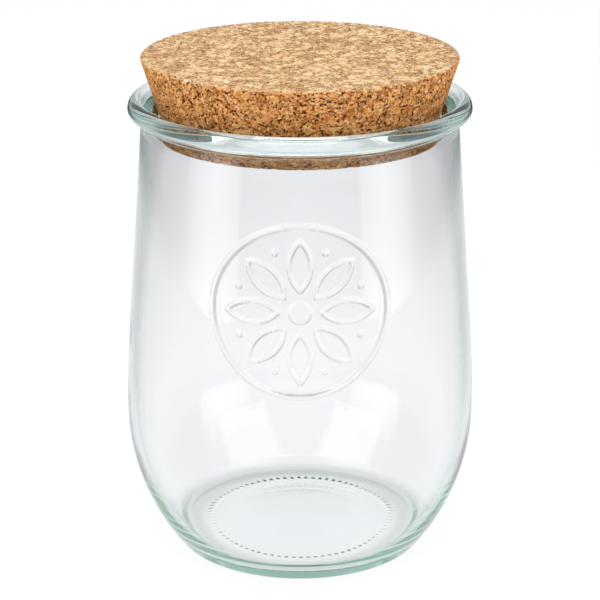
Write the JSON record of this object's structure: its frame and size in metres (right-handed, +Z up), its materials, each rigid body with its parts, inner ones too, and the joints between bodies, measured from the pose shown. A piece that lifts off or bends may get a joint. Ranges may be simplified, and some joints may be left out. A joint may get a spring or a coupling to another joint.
{
  "type": "glass jar with cork lid",
  "caption": "Clear glass storage jar with a tapered body, rounded bowl base, thick rolled rim and raised medallion, closed by a tapered pressed-cork stopper that lifts off.",
  "frame": {"origin": "middle of the base, on the plane the jar stands on", "axes": "+Z up along the jar's axis, -Y towards the front with the raised medallion, +X to the right seen from the front"},
  "size_m": [0.1118, 0.1118, 0.1601],
  "materials": {
    "clear_glass": "polished",
    "pressed_cork": "matte"
  },
  "bodies": {
    "jar": {"glass_jar": "clear_glass"},
    "lid": {"cork_lid": "pressed_cork"}
  },
  "joints": [
    {"name": "lid_lift", "type": "slide", "parent": "jar", "child": "lid", "axis": [0, 0, 1], "range_m": [0, 0.1]}
  ]
}
